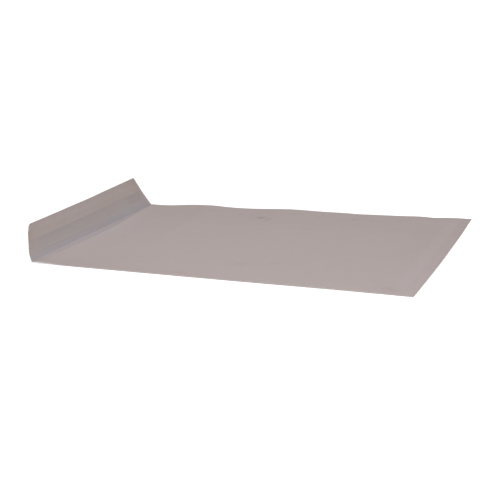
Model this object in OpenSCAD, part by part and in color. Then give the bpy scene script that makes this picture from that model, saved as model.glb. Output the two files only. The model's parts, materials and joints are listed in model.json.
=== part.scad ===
// Peel and seal pocket envelope, lying on its front panel with the seal flap standing open.
// X runs from the flap fold to the bottom edge, Y from the folded side to the glued side, Z up.
// The origin is the middle of the pocket's underside.

/* [Pocket] */
// Length from the flap fold to the bottom edge
pocket_l = 324; // [180:1:460]
// Width between the two long sides
pocket_w = 229; // [140:1:330]
// Slack between the front and back panels
pocket_gap = 0.9; // [0.6:0.1:3]
// Depth of the curved throat in the back panel, at mid-width
throat_d = 9; // [3:0.5:16]
// How far the back panel's free edges stop short of the pocket's outline
back_inset = 0.5; // [0.2:0.1:2]

/* [Paper] */
// Thickness of the envelope paper
paper_t = 0.15; // [0.1:0.01:0.24]

/* [Seams] */
// Width of the side seam flap under the back panel
seam_flap_w = 20; // [12:0.5:30]
// Width of the bottom flap under the back panel
bottom_flap_w = 19; // [12:0.5:30]
// How far the bottom flap starts inside each corner
bottom_flap_inset = 1.5; // [1:0.1:6]
// Clear gap between the mitred ends of the two flaps
mitre_gap = 0.5; // [0.2:0.1:2]
// Distance from the throat's ends to the start of the side seam flap
seam_start = 4; // [2:0.5:12]
// Width of each glue line
glue_w = 8; // [4:0.5:10]
// Thickness of each glue line
glue_t = 0.05; // [0.02:0.01:0.1]
// Clear length at each end of a glue line
glue_end = 6; // [2:0.5:12]

/* [Seal flap] */
// Length of the flap's sheet from its fold to its free edge
flap_h = 31; // [24:0.5:60]
// How far each side of the flap runs in at its free edge
flap_taper = 15.5; // [2:0.5:24]
// Corner radius at the free edge
flap_corner_r = 4; // [1:0.5:6]
// Angle at the flap's fold at rest, from lying open on the table
flap_angle = 57.5; // [10:0.5:140]
// Radius of the flap's curl towards the pocket
flap_curl_r = 68; // [60:1:400]
// Clear gap between the closed flap and the back panel
closed_gap = 0.4; // [0.2:0.05:1]

/* [Adhesive and liner] */
// Bare margin between the free edge and the liner
liner_margin = 6; // [3:0.5:12]
// Width of the release liner
liner_w = 8.5; // [7.5:0.5:12]
// Thickness of the release liner
liner_t = 0.06; // [0.04:0.01:0.1]
// How far the liner's pull end sticks out past the flap's side
liner_tail = 0.6; // [0:0.1:6]
// How far the liner's other end stops short of the flap's side
liner_short = 0.6; // [0:0.1:3]
// Width of the adhesive strip under the liner
adhesive_w = 6; // [3:0.5:7]
// Thickness of the adhesive strip
adhesive_t = 0.05; // [0.03:0.01:0.1]
// How far the adhesive strip's ends stay inside the flap's sides
adhesive_end = 2; // [1:0.5:6]
// Clearance that lets the liner slide over the adhesive
liner_gap = 0.08; // [0.05:0.01:0.2]

/* [Hidden] */

// Levels of the stacked sheets, from the table up
pocket_t = 2 * paper_t + pocket_gap;
back_z = pocket_t - paper_t;
glue_z = back_z - glue_t;
inner_flap_z = glue_z - paper_t;

// Outer radii of the folds
near_fold_r = pocket_t / 2;
inner_fold_r = (inner_flap_z + paper_t) / 2;

// The flap turns about an axis that lets it lie open on the table and, closed, just over the back panel
hinge_z = (pocket_t + closed_gap + paper_t) / 2;
hinge_x = hinge_z - pocket_l / 2;

// Lines where the flat sheets end and the folds begin
near_y = near_fold_r - pocket_w / 2;
far_y = pocket_w / 2 - inner_fold_r;
bottom_x = pocket_l / 2 - inner_fold_r;
throat_x = hinge_x + hinge_z + closed_gap;
back_far_y = pocket_w / 2 - back_inset;
back_bottom_x = pocket_l / 2 - back_inset;
throat_r = (pow(pocket_w / 2, 2) + pow(throat_d, 2)) / (2 * throat_d);

// Side seam flap's ends, cut at 45 degrees
seam_in_y = pocket_w / 2 - seam_flap_w;
seam_run = far_y - seam_in_y;
seam_start_x = throat_x + seam_start;
seam_end_x = bottom_x + bottom_flap_inset - inner_fold_r - mitre_gap;

// Bottom flap's ends, cut at 45 degrees
bottom_in_x = pocket_l / 2 - bottom_flap_w;
bottom_run = bottom_x - bottom_in_x;
bottom_near_y = bottom_flap_inset - pocket_w / 2;
bottom_far_y = pocket_w / 2 - bottom_flap_inset;

// Liner and adhesive along the flap's height, measured from the fold
liner_top = flap_h - liner_margin;
liner_low = liner_top - liner_w;
strip_mid = liner_top - liner_w / 2;

paper_colour = [0.68, 0.63, 0.62];
fold_colour = [0.62, 0.57, 0.56];
glue_colour = [0.85, 0.82, 0.72];
adhesive_colour = [0.80, 0.77, 0.66];
liner_colour = [0.64, 0.59, 0.56];

// Half the flap's width at a length of sheet from its fold
function flap_half(u) = pocket_w / 2 - flap_taper * u / flap_h;

// How far a length of the curled sheet reaches along its tangent at the fold
function reach(u) = flap_curl_r * sin(u / flap_curl_r * 180 / PI);

// Points of an arc about a centre, between two angles
function arc(centre, r, from, to, steps = 8) =
    [for (i = [0:steps]) let (a = from + (to - from) * i / steps) centre + r * [cos(a), sin(a)]];

// One flat sheet of paper with the outline of its children
module sheet(z) {
    translate([0, 0, z])
        linear_extrude(paper_t)
            children();
}

// Paper strip bent about an axis along X, from straight down round towards +Y
module bend(length, r, angle) {
    rotate([0, 90, 0])
        rotate_extrude(angle = angle, $fn = 64)
            translate([r - paper_t, -length / 2])
                square([paper_t, length]);
}

// Layer of the curled flap at a level above its outer face, cut to the outline of its children
module curled_sheet(level, thickness) {
    outer_r = flap_curl_r - level;
    intersection() {
        linear_extrude(flap_curl_r)
            children();
        translate([0, 0, flap_curl_r])
            rotate([90, 0, 0])
                difference() {
                    cylinder(h = 2 * pocket_w, r = outer_r, center = true, $fn = 180);
                    cylinder(h = 2 * pocket_w, r = outer_r - thickness, center = true, $fn = 180);
                }
    }
}

// Strip across the flap between two lengths of sheet from its fold, even about its middle
module flap_strip(low, top, half) {
    translate([-reach(top), -half])
        square([reach(top) - reach(low), 2 * half]);
}

// Places what is drawn for the flap lying open on the table at the flap's rest angle
module on_flap() {
    translate([hinge_x, 0, hinge_z])
        rotate([0, flap_angle, 0])
            translate([0, 0, -hinge_z])
                children();
}

module front_panel() {
    color(paper_colour)
        sheet(0)
            translate([hinge_x, near_y])
                square([bottom_x - hinge_x, far_y - near_y]);
}

module back_panel() {
    color(paper_colour)
        sheet(back_z)
            difference() {
                translate([throat_x, near_y])
                    square([back_bottom_x - throat_x, back_far_y - near_y]);
                translate([throat_x + throat_d - throat_r, 0])
                    circle(throat_r, $fn = 180);
            }
}

module near_side_fold() {
    color(fold_colour)
        translate([(throat_x + bottom_x) / 2, near_y, near_fold_r])
            mirror([0, 1, 0])
                bend(bottom_x - throat_x, near_fold_r, 180);
}

module far_side_fold() {
    color(fold_colour)
        translate([(seam_start_x + seam_end_x) / 2, far_y, inner_fold_r])
            bend(seam_end_x - seam_start_x, inner_fold_r, 180);
}

module bottom_fold() {
    color(fold_colour)
        translate([bottom_x, 0, inner_fold_r])
            rotate(-90)
                bend(bottom_far_y - bottom_near_y, inner_fold_r, 180);
}

module side_seam_flap() {
    color(paper_colour)
        sheet(inner_flap_z)
            polygon([
                [seam_start_x, far_y],
                [seam_end_x, far_y],
                [seam_end_x - seam_run, seam_in_y],
                [seam_start_x + seam_run, seam_in_y]
            ]);
}

module side_seam_glue() {
    length = seam_end_x - seam_start_x - 2 * (seam_run + glue_end);
    color(glue_colour)
        translate([(seam_start_x + seam_end_x - length) / 2, (far_y + seam_in_y - glue_w) / 2, glue_z])
            cube([length, glue_w, glue_t]);
}

module bottom_flap() {
    color(paper_colour)
        sheet(inner_flap_z)
            polygon([
                [bottom_x, bottom_near_y],
                [bottom_x, bottom_far_y],
                [bottom_in_x, bottom_far_y - bottom_run],
                [bottom_in_x, bottom_near_y + bottom_run]
            ]);
}

module bottom_seam_glue() {
    length = bottom_far_y - bottom_near_y - 2 * (bottom_run + glue_end);
    color(glue_colour)
        translate([(bottom_x + bottom_in_x - glue_w) / 2, -length / 2, glue_z])
            cube([glue_w, length, glue_t]);
}

module flap_fold() {
    color(fold_colour)
        translate([hinge_x, 0, hinge_z])
            rotate(90)
                bend(pocket_w, hinge_z, flap_angle);
}

module seal_flap() {
    side_angle = atan(flap_taper / flap_h);
    // Centre of the corner arc, its radius away from the free edge and the slanting side
    corner_u = flap_h - flap_corner_r;
    corner_y = flap_half(corner_u) - flap_corner_r / cos(side_angle);
    corner = arc([-corner_u, corner_y], flap_corner_r, 90 + side_angle, 180);
    far_side = [for (p = concat([[0, pocket_w / 2]], corner)) [-reach(-p.x), p.y]];
    near_side = [for (i = [len(far_side) - 1:-1:0]) [far_side[i].x, -far_side[i].y]];
    color(paper_colour)
        on_flap()
            curled_sheet(0, paper_t)
                polygon(concat(far_side, near_side));
}

module seal_adhesive() {
    half = flap_half(strip_mid + adhesive_w / 2) - adhesive_end;
    color(adhesive_colour)
        on_flap()
            curled_sheet(paper_t, adhesive_t)
                flap_strip(strip_mid - adhesive_w / 2, strip_mid + adhesive_w / 2, half);
}

module release_liner() {
    // The ends run along the flap's sides
    lengths = [for (i = [0:4]) liner_low + i / 4 * liner_w];
    far_end = [for (u = lengths) [-reach(u), flap_half(u) - liner_short]];
    near_end = [for (i = [4:-1:0]) let (u = lengths[i]) [-reach(u), -flap_half(u) - liner_tail]];
    color(liner_colour)
        on_flap()
            curled_sheet(paper_t + adhesive_t + liner_gap, liner_t)
                polygon(concat(far_end, near_end));
}

front_panel();
back_panel();
near_side_fold();
far_side_fold();
bottom_fold();
side_seam_flap();
side_seam_glue();
bottom_flap();
bottom_seam_glue();
flap_fold();
seal_flap();
seal_adhesive();
release_liner();
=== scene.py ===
import json
import math

import bpy
import numpy as np
from mathutils import Matrix, Vector


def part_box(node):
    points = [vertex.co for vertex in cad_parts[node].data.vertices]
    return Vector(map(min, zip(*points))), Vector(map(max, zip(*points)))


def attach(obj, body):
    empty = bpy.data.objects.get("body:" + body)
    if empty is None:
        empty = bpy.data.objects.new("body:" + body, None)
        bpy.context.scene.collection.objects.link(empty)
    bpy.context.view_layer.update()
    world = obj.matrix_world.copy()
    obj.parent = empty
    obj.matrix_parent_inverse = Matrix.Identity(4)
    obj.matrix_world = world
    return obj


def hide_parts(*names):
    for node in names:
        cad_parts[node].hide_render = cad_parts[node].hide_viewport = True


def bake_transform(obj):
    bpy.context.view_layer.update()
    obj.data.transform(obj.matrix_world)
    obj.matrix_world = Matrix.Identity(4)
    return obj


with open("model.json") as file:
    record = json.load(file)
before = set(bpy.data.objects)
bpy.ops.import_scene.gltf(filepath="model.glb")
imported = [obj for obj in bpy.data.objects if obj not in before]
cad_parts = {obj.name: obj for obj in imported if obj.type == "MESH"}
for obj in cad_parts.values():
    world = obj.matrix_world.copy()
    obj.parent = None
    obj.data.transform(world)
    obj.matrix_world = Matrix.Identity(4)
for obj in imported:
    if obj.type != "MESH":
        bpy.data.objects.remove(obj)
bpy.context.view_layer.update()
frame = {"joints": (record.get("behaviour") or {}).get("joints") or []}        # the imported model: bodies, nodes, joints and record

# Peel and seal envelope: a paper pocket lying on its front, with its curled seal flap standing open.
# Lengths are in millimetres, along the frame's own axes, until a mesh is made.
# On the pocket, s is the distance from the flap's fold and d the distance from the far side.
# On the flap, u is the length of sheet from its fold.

MM = 0.001


def span(node):
    """Lowest and highest corner of a CAD node."""
    low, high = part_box(node)
    return np.array(low) / MM, np.array(high) / MM


# Profiles: how strongly something shows along one direction

def smooth(low, high, value):
    """Rises smoothly from 0 at low to 1 at high."""
    t = np.clip((value - low) / (high - low), 0, 1)
    return t * t * (3 - 2 * t)


def bell(value, middle, spread):
    """Bell curve of height 1."""
    return np.exp(-0.5 * ((value - middle) / spread) ** 2)


def arch(t):
    """Parabola that is 0 at 0 and 1, and 1 halfway."""
    return 4 * t * (1 - t)


def rise(low, high):
    """Profile that goes from 0 at low to 1 at high."""
    return lambda value: smooth(low, high, value)


def fall(low, high):
    """Profile that goes from 1 at low to 0 at high."""
    return lambda value: 1 - smooth(low, high, value)


def between(low, full, last, high):
    """Profile that is 1 from full to last, and 0 below low and above high."""
    return lambda value: smooth(low, full, value) * (1 - smooth(last, high, value))


def hump(middle, spread):
    """Profile of a bell curve."""
    return lambda value: bell(value, middle, spread)


def fade(start, reach):
    """Profile that is 1 up to start and dies away past it."""
    return lambda value: np.exp(-np.maximum(value - start, 0) / reach)


def everywhere(value):
    """Profile that is 1 all over."""
    return np.ones_like(value)


def waves(value, table):
    """Sum of bell curves, each given by its middle, spread and height."""
    return sum(height * bell(value, middle, spread) for middle, spread, height in table)


def layers(value, table):
    """Sum of amounts, each with its profile."""
    return sum(amount * profile(value) for amount, profile in table)


def marks(along, across, table):
    """Sum of amounts, each with its profile along and its profile across."""
    return sum(amount * lengthwise(along) * sideways(across) for amount, lengthwise, sideways in table)


def ripples(length, table, shift=1):
    """Sum of sine waves, each given by its height, its length per radian and its start."""
    return sum(height * np.sin(length / reach + start * shift) for height, reach, start in table)


# Pocket, from the frame
HINGE = np.array(next(j for j in frame["joints"] if j["name"] == "flap_swing")["pos_m"]) / MM
FRONT_LOW, FRONT_HIGH = span("front_panel")
BACK_LOW, BACK_HIGH = span("back_panel")
BOTTOM_LOW, BOTTOM_HIGH = span("bottom_fold")
SEAM_LOW, SEAM_HIGH = span("side_seam_flap")
TUCK_LOW, TUCK_HIGH = span("bottom_flap")
NEAR_Y = span("near_side_fold")[0][1]
FAR_Y = span("far_side_fold")[1][1]
PAPER_T = FRONT_HIGH[2] - FRONT_LOW[2]
FOLD_X = HINGE[0] - HINGE[2]
POCKET_L = BOTTOM_HIGH[0] - FOLD_X
POCKET_W = FAR_Y - NEAR_Y
HALF_W = POCKET_W / 2
TUCK_S = TUCK_LOW[0] - FOLD_X
SEAM_D = FAR_Y - SEAM_LOW[1]

# Curved throat of the back panel, fuller by its near end
THROAT_DEPTH = 9.0
THROAT_R = (HALF_W ** 2 + THROAT_DEPTH ** 2) / (2 * THROAT_DEPTH)
THROAT_X = FOLD_X + 2 * HINGE[2] - BACK_HIGH[2]
THROAT_FULL = ((-82, 14, 0.7),)

# Seal flap with its crease, adhesive and liner, along the sheet from the fold
FLAP_H = 31.0
FLAP_ROOT = 0.03
FLAP_TAPER = 15.5
FLAP_SLOPE = FLAP_TAPER / FLAP_H
FLAP_CORNER_R = 4.0
FLAP_ANGLE = math.radians(57.5)
CREASE_TONGUE = 0.3
CREASE_TONGUE_INSET = PAPER_T / 4
ADHESIVE_LOW = 17.75
ADHESIVE_TOP = 23.75
ADHESIVE_T = 0.05
ADHESIVE_INSET = 0.2
ADHESIVE_RIPPLES = ((0.12, 4.3, 0), (0.06, 1.7, 1))
LINER_LOW = 16.5
LINER_TOP = 25.0
LINER_T = 0.06
LINER_GAP = 0.02
LINER_LEVEL = PAPER_T + ADHESIVE_T + LINER_GAP
LINER_TAIL = 0.8
LINER_TAIL_POWER = 3
LINER_SHORT = 0.6

# How the flap curls: its near and far side bow, dips lower its free edge, and its near side waves
FLAP_CURL_R = 68.0
FLAP_SKEW = 0.045
FLAP_SKEW_POWER = 3
NEAR_BOW = 0.5
NEAR_BOW_RISE = rise(0.05, 0.5)
NEAR_BOW_POWER = 6
FAR_BOW = -1.3
FLAP_DIPS = ((-55, 26, 0.22), (5, 16, 0.33))
FLAP_DIP_POWER = 2
NEAR_SIDE_WAVES = ((5.5, 4, 0.27), (17, 3.5, -0.13), (32, 4, 0.15))
NEAR_SIDE_RISE = rise(0, 2)
NEAR_SIDE_WIDER = 2.0
NEAR_SIDE_POWER = 6

# How the pocket lies: the far bottom corner curls up, both sides wave, and the near corner at the fold
# lifts. A power tells how close to its side a lift stays.
CORNER_LIFT = 6.25
LIFT_RISE = rise(0, 38)
LIFT_POWER = 2
MOUTH_POWER = 18
MOUTH_POWER_FALL = fall(28, 70)
FAR_WAVES = ((58, 18, 1.3), (101, 14, -0.3), (152, 18, 1.0), (225, 24, -0.4), (270, 26, -0.2))
FAR_COCKLES = ((72, 5, 0.3), (217, 6, -0.3), (262, 9, -0.2), (289, 5, -0.6))
FAR_COCKLE_POWER = 12
NEAR_WAVES = ((18, 8, 0.4), (250, 38, 0.45))
NEAR_WAVES_RISE = rise(0, 10)
NEAR_WAVES_FALL = fall(0, 0.5)
NEAR_CORNER = ((8, 7, 0.6),)
NEAR_CORNER_RISE = rise(0, 5)
NEAR_CORNER_FALL = fall(0, 0.15)
NEAR_FOLD_W = 1.0
BOTTOM_OUT = ((0.3, rise(POCKET_L - 14, POCKET_L - 1), rise(10, 60)),)

# How far the standing flap pulls its fold, along and across its half angle: at mid width, and per mm of y
FOLD_OUT = (0.546, -0.0034)
FOLD_UP = (0.378, -0.00236)
FOLD_DIP = 0.13
FOLD_DIP_FALL = fall(-HALF_W, -92)
FOLD_PULL_FALL = fall(1, 24)

# Back panel over its flat place: pressed by s and distance from the near side, embossed by s and d
PRESSED = (
    (-0.6, fall(8, 50), everywhere),
    (-0.25, rise(8, 50), fade(0, 6)),
)
EMBOSSED = (
    (0.08, rise(TUCK_S - 1.5, TUCK_S + 1.5), between(8, 20, POCKET_W - 20, POCKET_W - 8)),
    (0.04, rise(30, 60), fall(SEAM_D - 1, SEAM_D + 1)),
)
MOUTH_GAPE = ((58, 28, 0.9), (0, 30, 0.25), (-92, 28, -0.25))
MOUTH_GAPE_FADE = fade(0, 8)
BOTTOM_ROLL = 0.03
BOTTOM_ROLL_W = 9.2
BOTTOM_ROLL_SOFT = 0.6
BOTTOM_ROLL_S = POCKET_L - BOTTOM_ROLL_W

# Cockles of the back panel: length of the waves along s and d, and their start
COCKLE = 0.05
COCKLE_RISE = rise(40, 90)
COCKLE_WAVES = ((97, 61, 1.3), (-71, 118, 0.4), (143, -83, 2.2), (58, 171, 4.0))

# Dents of the back panel: s and d, spread along and across, turn in degrees, depth and darkening; the
# darkening is grime and painted shade in the hollow
DENTS = (
    (130.5, 33.8, 2.6, 2.3, 18, 0.46, 0.52),
    (134.8, 35.3, 4.2, 1.7, 18, 0.22, 0.24),
    (141.0, 42.1, 4.8, 1.1, -63, 0.26, 0.30),
    (136.0, 18.0, 4.0, 2.2, 8, 0.10, 0.10),
    (154.4, 18.4, 5.0, 2.2, 0, 0.10, 0.08),
    (106.8, 21.8, 2.6, 1.8, 10, 0.14, 0.16),
    (77.0, 20.5, 3.2, 2.0, -8, 0.12, 0.12),
    (58.0, 20.8, 5.5, 2.4, 0, 0.08, 0.05),
    (220.0, 21.0, 2.8, 1.8, 6, 0.18, 0.26),
    (234.5, 21.5, 2.8, 1.8, 0, 0.10, 0.10),
    (191.0, 20.0, 4.5, 2.2, 0, 0.08, 0.06),
    (265.5, 17.0, 5.0, 2.4, 0, 0.08, 0.06),
    (186.0, 62.0, 5.5, 3.4, 0, 0.10, 0.08),
    (169.8, 185.2, 4.2, 4.6, 70, 0.12, 0.13),
    (196.0, 177.0, 3.0, 3.0, 0, 0.08, 0.10),
    (240.2, 167.2, 0.9, 1.6, 0, 0.02, 0.14),
    (128.4, 222.4, 4.5, 2.0, 0, 0.08, 0.08),
    (305.5, 219.0, 4.0, 2.0, 25, 0.14, 0.13),
    (297.8, 215.4, 3.8, 1.6, 25, 0.11, 0.10),
)
CREASE_START = np.array([278.0, 194.0])
CREASE_END = np.array([308.0, 219.5])
CREASE_RUN = between(-0.2, 0.4, 0.9, 1.15)
CREASE_W = 3.2
CREASE_DEPTH = 0.24
# Darkening along the crease valley: grime and painted shade
CREASE_DIRT_AND_SHADE = 0.08

# Back panel by s and d, darker above 0 and lighter below 0: painted shade at the near corner by the fold,
# along the far side and towards the bottom end, painted light just inside the throat, and other darker
# patches by the near side and at the far bottom corner
BACK_MARKS_AND_SHADE = (
    # Painted shade at the near corner beside the standing flap
    (0.13, hump(32, 26), rise(195, 226)),
    (0.22, fade(0, 14), rise(205, 226)),
    (0.05, hump(72, 30), rise(170, 190)),
    (0.09, hump(125, 28), rise(213, 223)),
    # Painted shade along the far side and towards the bottom end
    (0.05, everywhere, fall(40, 75)),
    (0.06, rise(270, 296), between(30, 60, 110, 170)),
    (0.07, rise(314, 317), fall(40, 80)),
    # Painted light just inside the throat, against the standing flap's shade
    (-0.24, fade(12, 14), hump(112, 45)),
)

# Rubbed lines over the bottom flap by s and d, fainter round one place across: rubbed paper and painted
# highlight along the raised emboss
SEAM_RUB_AND_HIGHLIGHT = (
    (-0.09, between(TUCK_S - 1.2, TUCK_S + 0.8, BOTTOM_ROLL_S - 1.2, BOTTOM_ROLL_S + 1),
     between(12, 20, POCKET_W - 22, POCKET_W - 14)),
    (-0.08, between(286, 292, 306, 309), hump(20, 0.8)),
)
SEAM_FAINTER = 0.5
SEAM_FAINTER_HUMP = hump(65, 20)

# Colour of the folds: painted shade on the near fold where the front lamp lights it, darker along the far
# fold, and painted light against the shade under the bottom fold, which is partly rubbed paper
NEAR_FOLD_SHADE = 0.1
FAR_FOLD_DARKENING = 0.05
BOTTOM_FOLD_RUB_AND_LIGHT = -0.35

# Print inside the flap: below the liner, and fainter in a slanting margin at the near side
PRINT_FALL = fall(LINER_LOW - 1, LINER_LOW)
PRINT_SLANT = 1.4
PRINT_MARGIN = (-115.0, -110.0)
PRINT_BARE = 0.55

# Flap's inner face by u and the share of its width from the near side, darker above 0 and lighter below 0:
# painted shade that evens out the lamps' light towards the near end, painted light against the shade in
# the crease, and other darker and lighter bands
FLAP_MARKS_AND_SHADE = (
    # These three paint shade towards the flap's near end, where the lamps light it most
    (0.08, PRINT_FALL, fall(0.1, 0.66)),
    (0.08, fall(5, 7), fall(0.1, 0.66)),
    (0.09, PRINT_FALL, fall(0.02, 0.1)),
    (0.08, between(3, 6, 9, 13), fall(0.02, 0.08)),
    (-0.07, between(5, 7, LINER_LOW - 1, LINER_LOW), hump(0.33, 0.07)),
    (-0.11, PRINT_FALL, hump(0.77, 0.08)),
    (-0.09, fall(5, 7), rise(0.55, 0.9)),
    # Painted light against the shade in the crease by the far end
    (-0.14, fall(0.5, 3), rise(0.72, 0.96)),
    (0.14, between(7.5, 9, LINER_LOW - 1, LINER_LOW), between(0.81, 0.835, 0.92, 0.945)),
    (0.16, rise(LINER_LOW - 1, LINER_LOW), fall(0.03, 0.2)),
    (0.03, rise(LINER_TOP - 1, LINER_TOP), everywhere),
)

# Lighter paper and browning of the flap by u and distance from its far side, by u and y, and by u along
# the slant
FAR_END_MARKS = ((-0.22, PRINT_FALL, fall(1.5, 6)),)
FAR_END_BROWN = (
    (0.10, fall(LINER_LOW - 2, LINER_LOW), fall(0.5, 4)),
    (0.05, everywhere, fall(3, 30)),
    (0.17, rise(LINER_LOW - 2, LINER_LOW), fall(3, 30)),
)
FREE_EDGE_BROWN = ((0.09, rise(LINER_TOP - 1, LINER_TOP), rise(10, 80)),)
BARE_BROWN = ((0.17, between(2, 8, LINER_LOW - 1, LINER_LOW), fall(*PRINT_MARGIN)),)

# Browning of the liner by distance from its near end, by distance from its far end and by y
LINER_NEAR_BROWN = ((0.75, fall(0.4, 2)), (0.15, fall(0, 10)), (0.12, fall(0, 24)))
LINER_FAR_BROWN = ((0.16, fall(3, 28)), (0.07, fall(5, 20)))
LINER_BROWN = ((0.09, rise(0, 70)), (0.06, fall(-95, -10)), (0.05, hump(25, 18)))

# Uneven edge of the seam glue
GLUE_FILL = 0.94
GLUE_RIPPLES = ((0.04, 3.1, 0), (0.02, 1.3, 1))

# Points of the meshes
LENGTH_POINTS = 190
WIDTH_POINTS = 136
BACK_LENGTH_POINTS = 250
BACK_WIDTH_POINTS = 178
FOLD_POINTS = 13
SEAM_POINTS = 16
BOTTOM_POINTS = 150
TUCK_POINTS = 14
GLUE_LENGTH_POINTS = 160
GLUE_WIDTH_POINTS = 9
CREASE_POINTS = 9
FLAP_POINTS = 46
FLAP_WIDTH_POINTS = 200
ADHESIVE_POINTS = 8
LINER_POINTS = 12
FREE_EDGE_CROWDING = 0.9
SHARP_ANGLE = math.radians(40)
BACK_PATTERN_SHIFT = 400


def width_share(y):
    """Share of the pocket's width, from 0 at the near side to 1 at the far side."""
    return (y - NEAR_Y) / POCKET_W


def throat(y):
    """Throat edge of the back panel."""
    arc = THROAT_X + THROAT_DEPTH - THROAT_R + np.sqrt(THROAT_R ** 2 - y ** 2)
    return arc + waves(y, THROAT_FULL)


def fold_pull(y):
    """How far the standing flap has pulled its fold along X and up."""
    along = FOLD_OUT[0] + FOLD_OUT[1] * y
    across = FOLD_UP[0] + FOLD_UP[1] * y - FOLD_DIP * FOLD_DIP_FALL(y)
    c, n = math.cos(FLAP_ANGLE / 2), math.sin(FLAP_ANGLE / 2)
    return across * n - along * c, along * n + across * c


def lift(s, y):
    """Height of the whole pocket off the table."""
    across = np.clip(width_share(y), 0, 1)
    power = LIFT_POWER + MOUTH_POWER * MOUTH_POWER_FALL(s)
    far = (CORNER_LIFT * s / POCKET_L + waves(s, FAR_WAVES)) * across ** power
    far = far + waves(s, FAR_COCKLES) * across ** FAR_COCKLE_POWER
    near = waves(s, NEAR_WAVES) * NEAR_WAVES_RISE(s) * NEAR_WAVES_FALL(across)
    corner = waves(s, NEAR_CORNER) * NEAR_CORNER_RISE(s) * NEAR_CORNER_FALL(across)
    return far * LIFT_RISE(s) + near + corner


def dents(s, d):
    """Depth of the back panel's dents, and how much darker they are from grime and painted shade in the
    hollows.
    """
    depth = np.zeros_like(s)
    dirt_and_shade = np.zeros_like(s)
    for dent_s, dent_d, along, across, turn, deep, darkened in DENTS:
        c, n = math.cos(math.radians(turn)), math.sin(math.radians(turn))
        a = (s - dent_s) * c + (d - dent_d) * n
        b = (d - dent_d) * c - (s - dent_s) * n
        shape = bell(a, 0, along) * bell(b, 0, across)
        depth = depth + deep * shape
        dirt_and_shade = dirt_and_shade + darkened * shape
    return depth, dirt_and_shade


def crease(s, d):
    """Valley of the diagonal crease by the near bottom corner."""
    length = np.linalg.norm(CREASE_END - CREASE_START)
    along_s, along_d = (CREASE_END - CREASE_START) / length
    from_s, from_d = s - CREASE_START[0], d - CREASE_START[1]
    share = (from_s * along_s + from_d * along_d) / length
    beside = from_d * along_s - from_s * along_d
    return CREASE_RUN(share) * np.exp(-np.abs(beside) / CREASE_W)


def cockles(s, d):
    """Low waves of the back panel past its mouth."""
    total = np.zeros_like(s)
    for wave_s, wave_d, start in COCKLE_WAVES:
        total = total + np.sin(2 * math.pi * (s / wave_s + d / wave_d) + start)
    return COCKLE * COCKLE_RISE(s) * total


def puff(x, y):
    """Height of the back panel over its flat place."""
    s = x - FOLD_X
    d = FAR_Y - y
    gape = waves(y, MOUTH_GAPE) * MOUTH_GAPE_FADE(x - throat(y))
    past = (s - BOTTOM_ROLL_S) / BOTTOM_ROLL_SOFT
    roll = BOTTOM_ROLL * BOTTOM_ROLL_SOFT * np.logaddexp(0, past)
    hollow = dents(s, d)[0] + CREASE_DEPTH * crease(s, d)
    return marks(s, POCKET_W - d, PRESSED) + marks(s, d, EMBOSSED) + gape + cockles(s, d) - roll - hollow


def warp(points):
    """Moves points of the flat pocket to where the paper lies; what is over the front follows the back."""
    x, y, z = np.moveaxis(points, -1, 0)
    s = x - FOLD_X
    level = np.where(y < NEAR_Y + NEAR_FOLD_W, BACK_LOW[2], SEAM_LOW[2])
    share = np.clip((z - PAPER_T) / (level - PAPER_T), 0, 1)
    out, up = fold_pull(y)
    pulled = FOLD_PULL_FALL(s)
    moved = points.copy()
    moved[..., 0] = x + pulled * out + marks(s, FAR_Y - y, BOTTOM_OUT)
    moved[..., 2] = z + pulled * up + lift(s, y) + share * puff(x, y)
    return moved


def back_marks_and_shade(x, y):
    """Darker above 0 and lighter below 0 on the back panel: its dents, crease and seam lines, grime,
    painted shade and painted light.
    """
    s = x - FOLD_X
    d = FAR_Y - y
    seam = marks(s, d, SEAM_RUB_AND_HIGHLIGHT) * (1 - SEAM_FAINTER * SEAM_FAINTER_HUMP(d))
    return dents(s, d)[1] + CREASE_DIRT_AND_SHADE * crease(s, d) + marks(s, d, BACK_MARKS_AND_SHADE) + seam


def from_far_side(u, y):
    """Distance from the flap's slanting far side."""
    return HALF_W - FLAP_SLOPE * u - y


def flap_marks_and_shade(u, y):
    """Darker above 0 and lighter below 0 on the flap's inner face, with painted shade towards its near end
    and painted light in the crease.
    """
    return marks(u, width_share(y), FLAP_MARKS_AND_SHADE) + marks(u, from_far_side(u, y), FAR_END_MARKS)


def flap_brown(u, y):
    """Browning of the flap's inner face at its far end, along its free edge and in the bare margin."""
    far_end = marks(u, from_far_side(u, y), FAR_END_BROWN)
    return far_end + marks(u, y, FREE_EDGE_BROWN) + marks(u, y - PRINT_SLANT * u, BARE_BROWN)


# Meshes

def grid(rows, cols):
    """Two arrays, one with the values down the rows and one with those along the columns."""
    return np.meshgrid(rows, cols, indexing="ij")


def shares(count):
    """Even shares from 0 to 1."""
    return np.linspace(0, 1, count)


def stack(*parts):
    """Points from three coordinate arrays."""
    return np.stack(np.broadcast_arrays(*parts), axis=-1).astype(float)


def sheet_faces(outer, inner):
    """Faces of a closed sheet between two grids of points: its outer side, its inner side and its rim."""
    rows, cols = outer.shape[:2]
    count = rows * cols
    index = np.arange(count).reshape(rows, cols)
    corners = (index[:-1, :-1], index[1:, :-1], index[1:, 1:], index[:-1, 1:])
    quads = np.stack(corners, axis=-1).reshape(-1, 4)
    rim = np.concatenate([index[0, :-1], index[:-1, -1], index[-1, :0:-1], index[:0:-1, 0]])
    after = np.roll(rim, -1)
    walls = np.stack([rim, after, after + count, rim + count], axis=-1)
    sides = [quads, quads[:, ::-1] + count, walls]
    a, b, d = outer[:-1, :-1], outer[1:, :-1], outer[:-1, 1:]
    facing = np.sum(np.cross(b - a, d - a) * (outer - inner)[:-1, :-1])
    if facing < 0:
        sides = [side[:, ::-1] for side in sides]
    return sides


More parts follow.
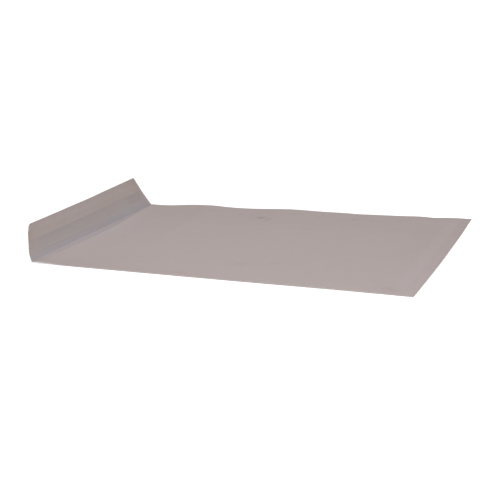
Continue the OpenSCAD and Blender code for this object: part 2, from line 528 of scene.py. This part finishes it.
def keep(mesh, name, kind, field, values):
    """Keeps values on the points of a mesh, for its materials."""
    attribute = mesh.attributes.new(name, kind, "POINT")
    attribute.data.foreach_set(field, values.astype(np.float32).ravel())


def make_piece(name, outer, inner, flat, materials, worn_and_shaded=(0, 0)):
    """Closed thin sheet between two grids of points, which keeps its flat place and, for both sides, how
    much darker or lighter they are: grime and rubbed paper, painted shade and painted light.
    """
    sides = sheet_faces(outer, inner)
    points = np.concatenate([outer.reshape(-1, 3), inner.reshape(-1, 3)]) * MM
    mesh = bpy.data.meshes.new(name)
    mesh.from_pydata(points.tolist(), [], np.concatenate(sides).tolist())
    side_of_face = np.repeat(np.arange(len(sides)), [len(side) for side in sides])
    mesh.polygons.foreach_set("material_index", side_of_face.astype(np.int32))
    mesh.shade_smooth()
    mesh.set_sharp_from_angle(angle=SHARP_ANGLE)
    for material in materials:
        mesh.materials.append(material)
    wear_and_shade = np.concatenate([np.broadcast_to(side, flat.shape[:2]) for side in worn_and_shaded])
    keep(mesh, "sheet", "FLOAT_VECTOR", "vector", np.concatenate([flat, flat]))
    keep(mesh, "wear_and_shade", "FLOAT", "value", wear_and_shade)
    mesh.update()
    piece = bpy.data.objects.new(name, mesh)
    bpy.context.scene.collection.objects.link(piece)
    return piece


def settle(piece, body, node):
    """Lets a piece ride on a body and stand for a CAD node, whose part it hides."""
    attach(piece, body)
    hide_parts(node)
    return piece


# Material nodes

def add(tree, kind, inputs, **settings):
    """New shader node, with its settings and with its inputs set or linked."""
    made = tree.nodes.new("ShaderNode" + kind)
    for name, value in settings.items():
        setattr(made, name, value)
    for name, value in inputs.items():
        if isinstance(value, bpy.types.NodeSocket):
            tree.links.new(value, made.inputs[name])
        else:
            made.inputs[name].default_value = value
    return made


def mixed(tree, factor, first, second, blend="MIX"):
    """Colour between two colours."""
    inputs = {0: factor, 6: first, 7: second}
    return add(tree, "Mix", inputs, data_type="RGBA", blend_type=blend).outputs[2]


def ranged(tree, value, low, high, to_low, to_high):
    """Value moved from one range to another, and held there."""
    inputs = {"Value": value, "From Min": low, "From Max": high, "To Min": to_low, "To Max": to_high}
    return add(tree, "MapRange", inputs).outputs["Result"]


def maths(tree, operation, first, second=0):
    """One sum on one or two values."""
    return add(tree, "Math", {0: first, 1: second}, operation=operation).outputs[0]


def sheet_place(tree):
    """Flat place of the paper in millimetres, so that a pattern stays on the sheet, and its browning."""
    return add(tree, "Attribute", {}, attribute_name="sheet").outputs["Vector"]


def parted(tree, place):
    """The three values of a place."""
    return add(tree, "SeparateXYZ", {0: place}).outputs


# Noise and bump of all materials
NOISE_ROUGHNESS = 0.55
NOISE_RANGE = (0.3, 0.7)
BUMP_DISTANCE = 0.00012


def noise(tree, place, scale, detail, stretch=(1, 1, 1)):
    """Noise whose scale is in waves per millimetre."""
    moved = add(tree, "VectorMath", {0: place, 1: stretch}, operation="MULTIPLY").outputs[0]
    inputs = {"Vector": moved, "Scale": scale, "Detail": detail, "Roughness": NOISE_ROUGHNESS}
    return add(tree, "TexNoise", inputs).outputs["Fac"]


def stretched(tree, pattern, low, high):
    """Noise stretched from low to high over its usual range."""
    return ranged(tree, pattern, *NOISE_RANGE, low, high)


def finish_material(tree, colour, roughness, height, bump, specular):
    """Principled surface with a fine bump."""
    bumps = {"Height": height, "Strength": bump, "Distance": BUMP_DISTANCE}
    normal = add(tree, "Bump", bumps).outputs["Normal"]
    surface = {"Base Color": colour, "Roughness": roughness, "Normal": normal}
    surface["Specular IOR Level"] = specular
    shader = add(tree, "BsdfPrincipled", surface)
    add(tree, "OutputMaterial", {"Surface": shader.outputs[0]})


def new_material(name):
    """Empty node material."""
    material = bpy.data.materials.new(name)
    material.use_nodes = True
    material.node_tree.nodes.clear()
    return material, material.node_tree


# Paper: linear colours, patterns and the roughness that goes with them
WHITE = (1, 1, 1, 1)
PAPER = (0.416, 0.354, 0.345, 1)
PAPER_DARK = (0.408, 0.347, 0.339, 1)
# Colours mixed in by the mesh's values: darker for grime and painted shade, lighter for rubbed paper and
# painted light
PAPER_DIRT_AND_SHADE = (0.255, 0.215, 0.205, 1)
PAPER_RUBBED_AND_LIT = (0.44, 0.42, 0.43, 1)
PAPER_BROWN = (0.30, 0.22, 0.17, 1)
PAPER_CLOUDS = {"scale": 0.11, "detail": 4}
PAPER_FIBRES = {"scale": 1.9, "detail": 5, "stretch": (0.35, 1, 1)}
FIBRE_SHADE = (0.985, 1.015)
OUTSIDE_ROUGHNESS = (0.92, 0.78)
INSIDE_ROUGHNESS = (0.92, 0.80)
EDGE = (0.44, 0.39, 0.38, 1)
EDGE_FIBRES = {"scale": 3.0, "detail": 6}
EDGE_ROUGHNESS = (0.98, 0.9)

# Print inside: tints, hatch lines per mm along Y and along X, and zones from low to high along X or Y
TINT_FAINT = (0.815, 0.853, 0.862, 1)
TINT_FLAP = (0.845, 0.893, 0.945, 1)
# Tint of the print in the pocket, made paler as painted light against the shade in the pocket's mouth
TINT_POCKET_PRINT_AND_LIGHT = (0.902, 0.947, 0.998, 1)
TINT_FADE = (-60, 40, 1, 0.78)
PRINT_EDGE = (-LINER_LOW - 0.6, -LINER_LOW + 0.4)
STRONG_ZONE = (-5.7, -3.9)
POCKET_ZONE = (-0.5, 0.5)
PALE_LINE = 6.9
PALE_LINE_W = 1.0
PALE_LINE_SHARE = 0.30
HATCH_INK = (0.928, 0.943, 0.967, 1)
HATCH_ALONG = 0.2347
HATCH_UP = 0.14
HATCH_SINE = (-0.3, 0.6)
HATCH_FAINT = 0.5
HATCH_FADE = (-60, 90, 0.66, 1)

# Liner, adhesive and glue
LINER = (0.368, 0.312, 0.299, 1)
LINER_DARK = (0.360, 0.304, 0.291, 1)
LINER_END = (0.27, 0.20, 0.15, 1)
LINER_PALE = (0.41, 0.355, 0.345, 1)
LINER_CLOUDS = {"scale": 0.08, "detail": 3}
LINER_FIBRES = {"scale": 1.4, "detail": 4, "stretch": (0.5, 1, 1)}
LINER_ROUGHNESS = (0.52, 0.42)
LINER_LINE = LINER_LOW + 2
LINER_LINE_W = 0.9
LINER_LINE_SHARE = 0.14
LINER_RIM_W = 3.5
LINER_RIM_SHARE = 0.45
ADHESIVE = (0.62, 0.57, 0.42, 1)
ADHESIVE_DARK = (0.52, 0.47, 0.33, 1)
ADHESIVE_ROUGHNESS = (0.35, 0.2)
GLUE = (0.66, 0.61, 0.46, 1)
GLUE_DARK = (0.55, 0.50, 0.36, 1)
GLUE_ROUGHNESS = (0.6, 0.45)
FILM_STREAKS = {"scale": 0.7, "detail": 4, "stretch": (1, 0.08, 1)}


def paper_colour(tree, place):
    """Cloudy paper with fibres, and the height of its fibres."""
    clouds = stretched(tree, noise(tree, place, **PAPER_CLOUDS), 0, 1)
    fibres = noise(tree, place, **PAPER_FIBRES)
    colour = mixed(tree, clouds, PAPER_DARK, PAPER)
    shade = stretched(tree, fibres, *FIBRE_SHADE)
    grey = add(tree, "CombineColor", {0: shade, 1: shade, 2: shade}).outputs[0]
    return mixed(tree, 1.0, colour, grey, "MULTIPLY"), fibres


def marked_and_shaded_colour(tree, colour):
    """Colour made darker by the grime and painted shade, and lighter by the rubbed places and painted
    light, that the mesh holds.
    """
    wear_and_shade = add(tree, "Attribute", {}, attribute_name="wear_and_shade").outputs["Fac"]
    darkened = mixed(tree, ranged(tree, wear_and_shade, 0, 1, 0, 1), colour, PAPER_DIRT_AND_SHADE)
    return mixed(tree, ranged(tree, wear_and_shade, -1, 0, 1, 0), darkened, PAPER_RUBBED_AND_LIT)


def finish_paper(tree, colour, fibres, roughness):
    """Surface of a paper face with its grime, rubbed places, painted shade and painted light."""
    rough = stretched(tree, fibres, *roughness)
    finish_material(tree, marked_and_shaded_colour(tree, colour), rough, fibres, bump=0.25, specular=0.25)


def paper_outside():
    """Outer face of the paper."""
    material, tree = new_material("paper_outside")
    colour, fibres = paper_colour(tree, sheet_place(tree))
    finish_paper(tree, colour, fibres, OUTSIDE_ROUGHNESS)
    return material


def printed_area(tree, x, y):
    """Strength of the print: none past the liner's lower edge, and less in the margin at the near side."""
    within = ranged(tree, x, *PRINT_EDGE, 0, 1)
    past = maths(tree, "ADD", y, maths(tree, "MULTIPLY", x, PRINT_SLANT))
    margin = ranged(tree, past, *PRINT_MARGIN, PRINT_BARE, 1)
    return maths(tree, "MULTIPLY", within, margin)


def printed_tint(tree, area, x, y):
    """Tint of the print: faint on the flap, bluer by the fold, and paler in the pocket, where the paler
    tint also paints light against the shade in the mouth.
    """
    tint = mixed(tree, maths(tree, "MULTIPLY", area, ranged(tree, y, *TINT_FADE)), WHITE, TINT_FAINT)
    beside = maths(tree, "ABSOLUTE", maths(tree, "ADD", x, PALE_LINE))
    tint = mixed(tree, ranged(tree, beside, 0, PALE_LINE_W, PALE_LINE_SHARE, 0), tint, WHITE)
    tint = mixed(tree, ranged(tree, x, *STRONG_ZONE, 0, 1), tint, TINT_FLAP)
    return mixed(tree, ranged(tree, x, *POCKET_ZONE, 0, 1), tint, TINT_POCKET_PRINT_AND_LIGHT)


def printed_hatch(tree, area, place, x, y):
    """Diagonal hatch lines of the print."""
    slant = (-2 * math.pi * HATCH_UP, 2 * math.pi * HATCH_ALONG, 0)
    turns = add(tree, "VectorMath", {0: place, 1: slant}, operation="DOT_PRODUCT").outputs["Value"]
    line = ranged(tree, maths(tree, "SINE", turns), *HATCH_SINE, 0, 1)
    zone = maths(tree, "MULTIPLY", area, ranged(tree, x, *STRONG_ZONE, HATCH_FAINT, 1))
    zone = maths(tree, "MULTIPLY", zone, ranged(tree, y, *HATCH_FADE))
    return mixed(tree, maths(tree, "MULTIPLY", line, zone), WHITE, HATCH_INK)


def paper_inside():
    """Inner face, with a faint diagonal hatch printed from the flap on into the pocket."""
    material, tree = new_material("paper_inside")
    place = sheet_place(tree)
    colour, fibres = paper_colour(tree, place)
    x, y, brown = parted(tree, place)
    area = printed_area(tree, x, y)
    tint = printed_tint(tree, area, x, y)
    hatch = printed_hatch(tree, area, place, x, y)
    ink = mixed(tree, 1.0, tint, hatch, "MULTIPLY")
    colour = mixed(tree, 1.0, colour, ink, "MULTIPLY")
    colour = mixed(tree, brown, colour, PAPER_BROWN)
    finish_paper(tree, colour, fibres, INSIDE_ROUGHNESS)
    return material


def paper_edge():
    """Cut edge of the paper, open and fibrous."""
    material, tree = new_material("paper_edge")
    fibres = noise(tree, sheet_place(tree), **EDGE_FIBRES)
    colour = mixed(tree, stretched(tree, fibres, 0, 1), PAPER_DARK, EDGE)
    rough = stretched(tree, fibres, *EDGE_ROUGHNESS)
    finish_material(tree, colour, rough, fibres, bump=0.5, specular=0.15)
    return material


def liner_material():
    """Release liner: smooth coated paper with a pale line and rim, browned at its two ends."""
    material, tree = new_material("liner_paper")
    place = sheet_place(tree)
    fibres = noise(tree, place, **LINER_FIBRES)
    clouds = stretched(tree, noise(tree, place, **LINER_CLOUDS), 0, 1)
    colour = mixed(tree, clouds, LINER_DARK, LINER)
    _, up, brown = parted(tree, place)
    beside = maths(tree, "ABSOLUTE", maths(tree, "SUBTRACT", up, LINER_LINE))
    line = ranged(tree, beside, 0, LINER_LINE_W, LINER_LINE_SHARE, 0)
    rim = ranged(tree, up, LINER_TOP - LINER_RIM_W, LINER_TOP, 0, LINER_RIM_SHARE)
    colour = mixed(tree, line, colour, LINER_PALE)
    colour = mixed(tree, rim, colour, LINER_PALE)
    colour = mixed(tree, brown, colour, LINER_END)
    rough = stretched(tree, fibres, *LINER_ROUGHNESS)
    finish_material(tree, colour, rough, fibres, bump=0.12, specular=0.3)
    return material


def film_material(name, light, dark, roughness):
    """Dried film of glue or adhesive, streaked along its length."""
    material, tree = new_material(name)
    streaks = noise(tree, sheet_place(tree), **FILM_STREAKS)
    colour = mixed(tree, stretched(tree, streaks, 0, 1), dark, light)
    rough = stretched(tree, streaks, *roughness)
    finish_material(tree, colour, rough, streaks, bump=0.35, specular=0.5)
    return material


# Materials of the outer side, the inner side and the rim of each kind of piece
PAPER_FACES = (paper_outside(), paper_inside(), paper_edge())
LINER_FACES = (liner_material(),) * 3
ADHESIVE_FACES = (film_material("seal_tack", ADHESIVE, ADHESIVE_DARK, ADHESIVE_ROUGHNESS),) * 3
GLUE_FACES = (film_material("seam_film", GLUE, GLUE_DARK, GLUE_ROUGHNESS),) * 3


# Pocket

def warped(x, y, *levels):
    """Grids of points of the pocket's paper, one for each level."""
    return [warp(stack(x, y, level)) for level in levels]


def front_sheet():
    """Front panel, flat on the table, with its printed inside up."""
    i, j = grid(shares(LENGTH_POINTS), shares(WIDTH_POINTS))
    x = FRONT_LOW[0] + i * (FRONT_HIGH[0] - FRONT_LOW[0])
    y = FRONT_LOW[1] + j * (FRONT_HIGH[1] - FRONT_LOW[1])
    outer, inner = warped(x, y, FRONT_LOW[2], FRONT_HIGH[2])
    piece = make_piece("front_sheet", outer, inner, stack(x - FOLD_X, y, 0), PAPER_FACES)
    return settle(piece, "pocket", "front_panel")


def back_sheet():
    """Back panel, from the curved throat to the bottom edge."""
    i, j = grid(shares(BACK_LENGTH_POINTS), shares(BACK_WIDTH_POINTS))
    y = BACK_LOW[1] + j * (BACK_HIGH[1] - BACK_LOW[1])
    start = throat(y)
    x = start + i * (BACK_HIGH[0] - start)
    outer, inner = warped(x, y, BACK_HIGH[2], BACK_LOW[2])
    flat = stack(x - FOLD_X, y + BACK_PATTERN_SHIFT, 0)
    piece = make_piece("back_sheet", outer, inner, flat, PAPER_FACES, (back_marks_and_shade(x, y), 0))
    return settle(piece, "pocket", "back_panel")


def rolled(turn, radius):
    """Sideways and upward distance from a fold's axis, from its underside round to its top."""
    return np.sin(turn) * radius, -np.cos(turn) * radius


def side_fold(name, node, side, wear_and_shade):
    """Fold of the near side (-1) or the far side (1), bent half round about an axis along X."""
    low, high = span(node)
    axis_y = high[1] if side < 0 else low[1]
    i, turn = grid(shares(LENGTH_POINTS), np.linspace(0, math.pi, FOLD_POINTS))
    radius = (high[2] - low[2]) / 2
    x = low[0] + i * (high[0] - low[0])
    faces = []
    for r in (radius, radius - PAPER_T):
        out, up = rolled(turn, r)
        faces.append(warp(stack(x, axis_y + side * out, radius + up)))
    flat = stack(x - FOLD_X, axis_y + side * turn * radius, 0)
    piece = make_piece(name, *faces, flat, PAPER_FACES, (wear_and_shade, 0))
    return settle(piece, "pocket", node)


def bottom_fold_sheet():
    """Fold of the bottom edge, bent half round about an axis along Y."""
    i, turn = grid(shares(BOTTOM_POINTS), np.linspace(0, math.pi, FOLD_POINTS))
    radius = (BOTTOM_HIGH[2] - BOTTOM_LOW[2]) / 2
    y = BOTTOM_LOW[1] + i * (BOTTOM_HIGH[1] - BOTTOM_LOW[1])
    faces = []
    for r in (radius, radius - PAPER_T):
        out, up = rolled(turn, r)
        faces.append(warp(stack(BOTTOM_LOW[0] + out, y, radius + up)))
    flat = stack(BOTTOM_LOW[0] - FOLD_X + turn * radius, y, 0)
    piece = make_piece("bottom_fold_sheet", *faces, flat, PAPER_FACES, (BOTTOM_FOLD_RUB_AND_LIGHT, 0))
    return settle(piece, "pocket", "bottom_fold")


def seam_flap_sheet():
    """Side seam flap under the back panel, with its ends cut at 45 degrees."""
    i, j = grid(shares(LENGTH_POINTS), shares(SEAM_POINTS))
    run = (SEAM_HIGH[1] - SEAM_LOW[1]) * j
    y = SEAM_HIGH[1] - run
    x = SEAM_LOW[0] + run + i * (SEAM_HIGH[0] - SEAM_LOW[0] - 2 * run)
    outer, inner = warped(x, y, SEAM_HIGH[2], SEAM_LOW[2])
    piece = make_piece("seam_flap_sheet", outer, inner, stack(x - FOLD_X, y, 0), PAPER_FACES)
    return settle(piece, "pocket", "side_seam_flap")


def bottom_flap_sheet():
    """Bottom flap under the back panel, with its ends cut at 45 degrees."""
    i, j = grid(shares(BOTTOM_POINTS), shares(TUCK_POINTS))
    run = (TUCK_HIGH[0] - TUCK_LOW[0]) * j
    x = TUCK_HIGH[0] - run
    y = TUCK_LOW[1] + run + i * (TUCK_HIGH[1] - TUCK_LOW[1] - 2 * run)
    outer, inner = warped(x, y, TUCK_HIGH[2], TUCK_LOW[2])
    piece = make_piece("bottom_flap_sheet", outer, inner, stack(x - FOLD_X, y, 0), PAPER_FACES)
    return settle(piece, "pocket", "bottom_flap")


def glue_line(name, node, along):
    """Rolled-on line of seam glue with a slightly uneven edge, along axis 0 or 1."""
    low, high = span(node)
    across = 1 - along
    i, j = grid(shares(GLUE_LENGTH_POINTS), np.linspace(-1, 1, GLUE_WIDTH_POINTS))
    length = low[along] + i * (high[along] - low[along])
    half = (high[across] - low[across]) / 2
    width = low[across] + half + j * half * (GLUE_FILL + ripples(length, GLUE_RIPPLES, j))
    x, y = (length, width) if along == 0 else (width, length)
    outer, inner = warped(x, y, high[2], low[2])
    piece = make_piece(name, outer, inner, stack(width, length, 0), GLUE_FACES)
    return settle(piece, "pocket", node)


# Seal flap

def flap_bow(t, far):
    """How far the flap bows out of its even curl, by its share of height and of width."""
    near_bow = NEAR_BOW * NEAR_BOW_RISE(t) * (1 - t ** NEAR_BOW_POWER)
    return (1 - far) * near_bow + far * FAR_BOW * arch(t)


def on_flap(u, y, level):
    """Point of the curled flap at a length of sheet from its fold and a level above its outer face."""
    t = np.clip(u / FLAP_H, 0, 1)
    far = np.clip(width_share(y), 0, 1)
    angle = u * (1 + FLAP_SKEW * far ** FLAP_SKEW_POWER) / FLAP_CURL_R
    wavy = waves(u, NEAR_SIDE_WAVES) * NEAR_SIDE_RISE(u) * (1 - far) ** NEAR_SIDE_POWER
    radius = FLAP_CURL_R - level + flap_bow(t, far) + wavy
    x = -radius * np.sin(angle)
    z = FLAP_CURL_R - radius * np.cos(angle) - HINGE[2]
    c, n = math.cos(FLAP_ANGLE), math.sin(FLAP_ANGLE)
    out, up = fold_pull(y)
    place_x = HINGE[0] + x * c + z * n + (1 - t) * out
    place_z = HINGE[2] + z * c - x * n + (1 - t) * up - waves(y, FLAP_DIPS) * t ** FLAP_DIP_POWER
    return stack(place_x, y - NEAR_SIDE_WIDER * wavy, place_z)


def flap_half(u):
    """Half the flap's width at a length of sheet from its fold, round at the free corners."""
    straight = HALF_W - FLAP_SLOPE * u
    middle_u = FLAP_H - FLAP_CORNER_R
    middle_y = HALF_W - FLAP_SLOPE * middle_u - FLAP_CORNER_R * math.hypot(1, FLAP_SLOPE)
    arc_u = middle_u + FLAP_CORNER_R * math.sin(math.atan(FLAP_SLOPE))
    rounded = middle_y + np.sqrt(np.maximum(FLAP_CORNER_R ** 2 - (u - middle_u) ** 2, 0))
    return np.where(u > arc_u, rounded, straight)


def flap_rows():
    """Lengths of sheet from the fold, closer together by the free edge's round corners."""
    crowded = np.sin(np.linspace(0, math.pi / 2, FLAP_POINTS)) ** FREE_EDGE_CROWDING
    return FLAP_ROOT + (FLAP_H - FLAP_ROOT) * crowded


def crease_ends():
    """Where the crease's bend from the pocket to the flap starts and ends, square to the slanting fold."""
    out, up = fold_pull(np.array(0.0))
    start = HINGE + np.array([out, 0, up - HINGE[2]])
    chord = HINGE[2] * np.array([-math.sin(FLAP_ANGLE), 0, 1 - math.cos(FLAP_ANGLE)])
    return start, start + chord - np.array([0, FOLD_OUT[1] * np.linalg.norm(chord), 0])


def crease_sheet():
    """Scored crease, bent from the pocket round to the standing flap, with a thin tongue into the hairline
    at the flap.
    """
    bend = np.append(np.linspace(0, FLAP_ANGLE, CREASE_POINTS), [FLAP_ANGLE, FLAP_ANGLE])
    turn, j = grid(bend, np.linspace(-1, 1, FLAP_WIDTH_POINTS))
    run = np.zeros_like(turn)
    run[-1] = CREASE_TONGUE
    inset = np.zeros_like(turn)
    inset[-2:] = CREASE_TONGUE_INSET
    y = j * HALF_W
    out, up = fold_pull(y)
    faces = []
    for r in (HINGE[2] - inset, HINGE[2] - PAPER_T + inset):
        x = HINGE[0] - np.sin(turn) * r - np.cos(turn) * run
        z = HINGE[2] - np.cos(turn) * r + np.sin(turn) * run
        faces.append(stack(x + out, y, z + up))
    flat = stack(HINGE[0] - FOLD_X - turn * HINGE[2] - run, y, 0)
    piece = make_piece("crease_sheet", *faces, flat, PAPER_FACES)
    start, end = crease_ends()
    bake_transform(piece)
    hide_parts("flap_fold")
    return piece


def flap_sheet():
    """Curled seal flap with its slanting sides and round free corners."""
    u, j = grid(flap_rows(), np.linspace(-1, 1, FLAP_WIDTH_POINTS))
    skewed = FLAP_SLOPE * u * FLAP_SKEW * np.clip(j, 0, 1) ** FLAP_SKEW_POWER
    y = j * (flap_half(u) - skewed)
    outer = on_flap(u, y, 0)
    inner = on_flap(u, y, PAPER_T)
    flat = stack(-u, y, flap_brown(u, y))
    piece = make_piece("flap_sheet", outer, inner, flat, PAPER_FACES, (0, flap_marks_and_shade(u, y)))
    return settle(piece, "flap", "seal_flap")


def adhesive_strip():
    """Pressure-sensitive adhesive under the liner, with a slightly uneven edge."""
    low, high = span("seal_adhesive")
    i, j = grid(shares(ADHESIVE_POINTS), shares(FLAP_WIDTH_POINTS))
    y = low[1] + j * (high[1] - low[1])
    uneven = ripples(y, ADHESIVE_RIPPLES) - ADHESIVE_INSET
    u = ADHESIVE_LOW + i * (ADHESIVE_TOP - ADHESIVE_LOW) + (2 * i - 1) * uneven
    outer = on_flap(u, y, PAPER_T + ADHESIVE_T)
    inner = on_flap(u, y, PAPER_T)
    piece = make_piece("adhesive_strip", outer, inner, stack(u, y, 0), ADHESIVE_FACES)
    return settle(piece, "flap", "seal_adhesive")


def liner_columns():
    """Shares along the liner, closer together at its ends."""
    even = np.linspace(-1, 1, FLAP_WIDTH_POINTS)
    return 0.5 + 0.5 * np.sin(even * math.pi / 2)


def liner_strip():
    """Release liner, with its pull end past the flap's near side."""
    i, j = grid(shares(LINER_POINTS), liner_columns())
    u = LINER_LOW + i * (LINER_TOP - LINER_LOW)
    near = -flap_half(u) - LINER_TAIL * i ** LINER_TAIL_POWER
    far = flap_half(u) - LINER_SHORT
    y = near + j * (far - near)
    outer = on_flap(u, y, LINER_LEVEL + LINER_T)
    inner = on_flap(u, y, LINER_LEVEL)
    brown = layers(y - near, LINER_NEAR_BROWN) + layers(far - y, LINER_FAR_BROWN) + layers(y, LINER_BROWN)
    piece = make_piece("liner_strip", outer, inner, stack(y, u, brown), LINER_FACES)
    return settle(piece, "liner", "release_liner")


# Light and camera, in metres, watts, degrees and the photograph's pixels, with the sensor in mm
WORLD_LIGHT = 0.29
FRONT_LAMP = {"place": (0.15, -0.75, 0.5), "target": (0, 0, 0), "size": 0.9, "power": 6.25}
SIDE_LAMP = {"place": (1.4, -0.3, 0.35), "target": (0, 0, 0), "size": 0.9, "power": 6.0}
TOP_LAMP = {"place": (-0.1, 0.1, 0.8), "target": (-0.1, 0.1, 0), "size": 0.5, "power": 2.17}
CAMERA_PLACE = (0.35077, -0.92929, 0.25923)
CAMERA_AZIMUTH = 21.28
CAMERA_ELEVATION = 14.91
CAMERA_ROLL = 1.16
FOCAL_PIXELS = 1174.0
PICTURE_PIXELS = 500.0
SENSOR = 36.0

# Floor, in metres: its glow from a low to a high place, and spots of more glow with their two radii. The
# glow that rises along X and the spots paint light over the object's shadow by its bottom edge, under its
# lifted far corner and beside its near corner
FLOOR_SIZE = 40.0
FLOOR_COLOUR = (0.8, 0.8, 0.8, 1)
GLOW_ALONG_Y = (-0.3, 0.3, 0.45, 0.46)
GLOW_OVER_BOTTOM_SHADOW = (0.03, 0.13, 0, 0.2)
GLOW_REACH = (0.35, 1.2)
GLOW_FAR = 0.85
SHADOW_HIDING_GLOW = (
    ((0.17, 0.075, 0), 0.03, 0.09, 0.27),
    ((-0.172, -0.106, 0), 0.008, 0.016, 0.3),
)


def seen_directly(tree):
    """1 for rays from the camera, a mirror or glass, so that they meet a white background."""
    rays = add(tree, "LightPath", {}).outputs
    sharp = maths(tree, "MAXIMUM", rays["Is Glossy Ray"], rays["Is Transmission Ray"])
    return maths(tree, "MAXIMUM", rays["Is Camera Ray"], sharp)


def floor_glow(tree):
    """Strength of the floor's glow, which keeps most of the object's shadow, paints light over it by the
    bottom edge and the two corners, and grows to white with distance.
    """
    place = add(tree, "NewGeometry", {}).outputs["Position"]
    away = add(tree, "VectorMath", {0: place}, operation="LENGTH").outputs["Value"]
    x, y, _ = parted(tree, place)
    nearby = maths(tree, "ADD", ranged(tree, y, *GLOW_ALONG_Y), ranged(tree, x, *GLOW_OVER_BOTTOM_SHADOW))
    for spot, full, end, glow in SHADOW_HIDING_GLOW:
        beside = add(tree, "VectorMath", {0: place, 1: spot}, operation="DISTANCE").outputs["Value"]
        nearby = maths(tree, "ADD", nearby, ranged(tree, beside, full, end, glow, 0))
    return ranged(tree, away, *GLOW_REACH, nearby, GLOW_FAR)


def floor_material():
    """Plain white, lit by the lamps and by its own glow."""
    material, tree = new_material("floor_white")
    diffuse = add(tree, "BsdfDiffuse", {"Color": FLOOR_COLOUR})
    strength = maths(tree, "MULTIPLY", seen_directly(tree), floor_glow(tree))
    glow = add(tree, "Emission", {"Strength": strength})
    both = add(tree, "AddShader", {0: diffuse.outputs[0], 1: glow.outputs[0]})
    add(tree, "OutputMaterial", {"Surface": both.outputs[0]})
    return material


def make_floor():
    """Wide square floor."""
    half = FLOOR_SIZE / 2
    corners = [(-half, -half, 0), (half, -half, 0), (half, half, 0), (-half, half, 0)]
    mesh = bpy.data.meshes.new("floor")
    mesh.from_pydata(corners, [], [(0, 1, 2, 3)])
    mesh.materials.append(floor_material())
    floor = bpy.data.objects.new("floor", mesh)
    bpy.context.scene.collection.objects.link(floor)


def make_world():
    """Even white surroundings."""
    world = bpy.data.worlds.new("studio")
    bpy.context.scene.world = world
    world.use_nodes = True
    tree = world.node_tree
    tree.nodes.clear()
    strength = ranged(tree, seen_directly(tree), 0, 1, WORLD_LIGHT, 1)
    sky = add(tree, "Background", {"Color": WHITE, "Strength": strength})
    add(tree, "OutputWorld", {"Surface": sky.outputs[0]})


def area_lamp(name, place, target, size, power):
    """Square soft box that faces a point."""
    lamp = bpy.data.lights.new(name, "AREA")
    lamp.size = size
    lamp.energy = power
    holder = bpy.data.objects.new(name, lamp)
    holder.location = place
    holder.rotation_euler = (Vector(target) - Vector(place)).to_track_quat("-Z", "Y").to_euler()
    holder.visible_camera = False
    bpy.context.scene.collection.objects.link(holder)


def camera_axes():
    """Directions to the camera's right, up and behind it."""
    azimuth = math.radians(CAMERA_AZIMUTH)
    elevation = math.radians(CAMERA_ELEVATION)
    roll = math.radians(CAMERA_ROLL)
    reach = math.cos(elevation)
    ahead = Vector((-math.sin(azimuth) * reach, math.cos(azimuth) * reach, -math.sin(elevation)))
    level = Vector((math.cos(azimuth), math.sin(azimuth), 0))
    right = level * math.cos(roll) + ahead.cross(level) * math.sin(roll)
    return right, right.cross(ahead), -ahead


def make_camera():
    """Camera at the photograph's viewing angle."""
    data = bpy.data.cameras.new("camera")
    data.sensor_width = SENSOR
    data.lens = FOCAL_PIXELS / PICTURE_PIXELS * SENSOR
    camera = bpy.data.objects.new("camera", data)
    turned = Matrix(camera_axes()).transposed().to_4x4()
    camera.matrix_world = Matrix.Translation(CAMERA_PLACE) @ turned
    bpy.context.scene.collection.objects.link(camera)
    bpy.context.scene.camera = camera


make_camera()
front_sheet()
back_sheet()
side_fold("near_fold_sheet", "near_side_fold", -1, NEAR_FOLD_SHADE)
side_fold("far_fold_sheet", "far_side_fold", 1, FAR_FOLD_DARKENING)
bottom_fold_sheet()
seam_flap_sheet()
bottom_flap_sheet()
glue_line("side_glue_line", "side_seam_glue", 0)
glue_line("bottom_glue_line", "bottom_seam_glue", 1)
crease_sheet()
flap_sheet()
adhesive_strip()
liner_strip()
make_floor()
make_world()
area_lamp("front_lamp", **FRONT_LAMP)
area_lamp("side_lamp", **SIDE_LAMP)
area_lamp("top_lamp", **TOP_LAMP)
bpy.context.scene.view_settings.view_transform = "Standard"
